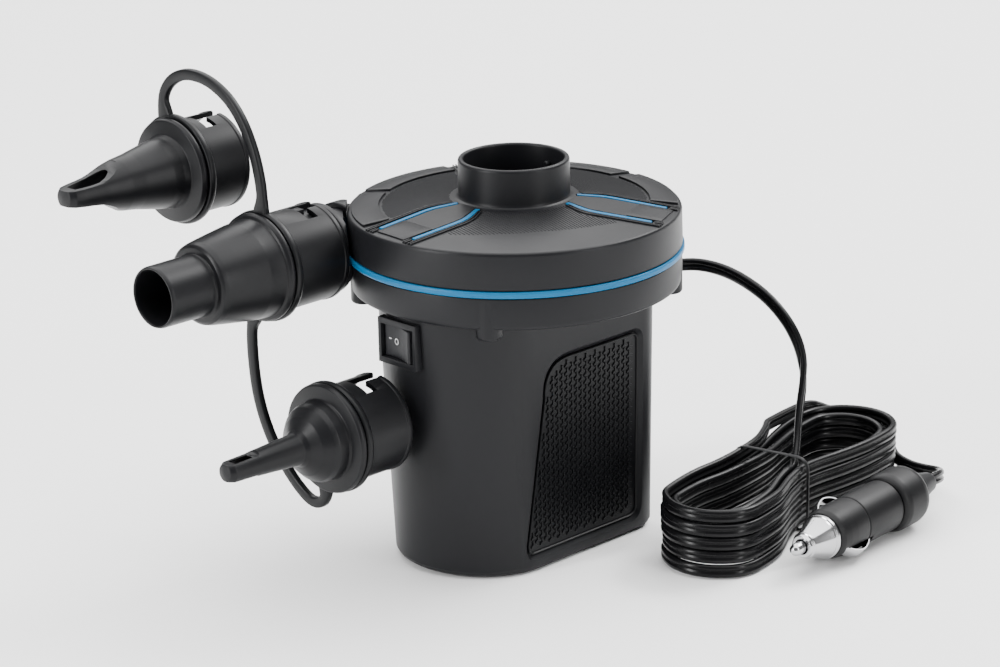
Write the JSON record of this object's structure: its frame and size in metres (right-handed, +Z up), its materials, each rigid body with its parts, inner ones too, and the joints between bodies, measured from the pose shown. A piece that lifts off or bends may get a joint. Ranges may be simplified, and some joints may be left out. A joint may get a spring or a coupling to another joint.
{
  "type": "electric air mattress pump",
  "caption": "Hand-held 12 V air pump with a round blower head, oblong grip body, strapped set of bayonet nozzles and a flat cord tied in a hank with a vehicle plug.",
  "frame": {"origin": "centre of the blower head's vertical axis, on the floor that the grip body stands on", "axes": "+Z up along the blower's axis; -Y towards the front, where the switch and the outlet face; +X to the right of someone looking along +Y"},
  "size_m": [0.2416, 0.3006, 0.193],
  "materials": {
    "shell_plastic": "fine spark-eroded texture, satin charcoal black",
    "nozzle_plastic": "satin charcoal black with moulded grain",
    "grip_rubber": "moulded interlocking three-armed relief",
    "blue_plastic": "satin mid blue",
    "soft_plastic": "soft satin black",
    "plug_plastic": "grained semi-gloss black",
    "cable_vinyl": "glossy black vinyl, ribbed flat twin",
    "plated_steel": "bright nickel plate",
    "copper": "copper windings and tinned tabs",
    "white_plastic": "natural nylon"
  },
  "bodies": {
    "pump": {"body_shell": "shell_plastic", "volute_housing": "shell_plastic", "top_cover": "shell_plastic", "switch_housing": "shell_plastic", "inlet_grille": "shell_plastic", "grip_panel_left": "grip_rubber", "grip_panel_right": "grip_rubber", "trim_ring": "blue_plastic", "blue_inlay_1": "blue_plastic", "blue_inlay_2": "blue_plastic", "blue_inlay_3": "blue_plastic", "blue_inlay_4": "blue_plastic", "blue_inlay_5": "blue_plastic", "blue_inlay_6": "blue_plastic", "cord_strain_relief": "soft_plastic", "cord_tie": "soft_plastic", "plug_tail_boot": "soft_plastic", "plug_body": "plug_plastic", "plug_rear_ring": "plug_plastic", "cord_lead": "cable_vinyl", "cord_hank": "cable_vinyl", "cord_tail": "cable_vinyl", "wire_feed": "cable_vinyl", "wire_return": "cable_vinyl", "wire_motor": "cable_vinyl", "plug_fuse_spring": "plated_steel", "motor_can": "plated_steel", "head_screw_1": "plated_steel", "head_screw_2": "plated_steel", "head_screw_3": "plated_steel", "head_screw_4": "plated_steel", "motor_screw_1": "plated_steel", "motor_screw_2": "plated_steel", "plug_fuse": "plated_steel", "switch_terminal_1": "copper", "switch_terminal_2": "copper", "motor_end_cap": "white_plastic"},
    "rotor": {"motor_rotor": "copper", "impeller": "soft_plastic"},
    "rocker": {"rocker_button": "soft_plastic"},
    "strap": {"nozzle_strap": "nozzle_plastic"},
    "large_nozzle": {"large_nozzle": "nozzle_plastic"},
    "upper_nozzle": {"upper_nozzle": "nozzle_plastic"},
    "lower_nozzle": {"lower_nozzle": "nozzle_plastic"},
    "nose_cap": {"plug_nose_cap": "plated_steel"},
    "centre_pin": {"plug_centre_pin": "plated_steel"},
    "side_spring_1": {"plug_side_spring_1": "plated_steel"},
    "side_spring_2": {"plug_side_spring_2": "plated_steel"}
  },
  "joints": [
    {"name": "rotor_spin", "type": "hinge", "parent": "pump", "child": "rotor", "pos_m": [0, 0, 0.1], "axis": [0, 0, 1], "continuous": true},
    {"name": "rocker_tilt", "type": "hinge", "parent": "pump", "child": "rocker", "pos_m": [-0.002, -0.0605, 0.0948], "axis": [0, 0, 1], "range_deg": [0, 20]},
    {"name": "nozzle_pull", "type": "slide", "parent": "pump", "child": "strap", "axis": [0, -1, 0], "range_m": [0, 0.03]},
    {"name": "large_nozzle_twist", "type": "hinge", "parent": "strap", "child": "large_nozzle", "pos_m": [-0.049, -0.087, 0.122], "axis": [0, -1, 0], "range_deg": [0, 20]},
    {"name": "upper_nozzle_turn", "type": "hinge", "parent": "strap", "child": "upper_nozzle", "pos_m": [-0.0975, -0.087, 0.1515], "axis": [0, -1, 0], "continuous": true},
    {"name": "lower_nozzle_turn", "type": "hinge", "parent": "strap", "child": "lower_nozzle", "pos_m": [-0.0128, -0.087, 0.0615], "axis": [0, -1, 0], "continuous": true},
    {"name": "nose_cap_unscrew", "type": "hinge", "parent": "pump", "child": "nose_cap", "pos_m": [0.1136, 0.0332, 0.0126], "axis": [-0.0859, 0.9963, 0], "range_deg": [0, 540]},
    {"name": "centre_pin_press", "type": "slide", "parent": "pump", "child": "centre_pin", "axis": [-0.0859, 0.9963, 0], "range_m": [0, 0.003], "stiffness_N_per_m": 400},
    {"name": "side_spring_1_press", "type": "slide", "parent": "pump", "child": "side_spring_1", "axis": [0.7632, 0.0658, -0.6428], "range_m": [0, 0.0016], "stiffness_N_per_m": 800},
    {"name": "side_spring_2_press", "type": "slide", "parent": "pump", "child": "side_spring_2", "axis": [-0.7632, -0.0658, 0.6428], "range_m": [0, 0.0016], "stiffness_N_per_m": 800}
  ]
}
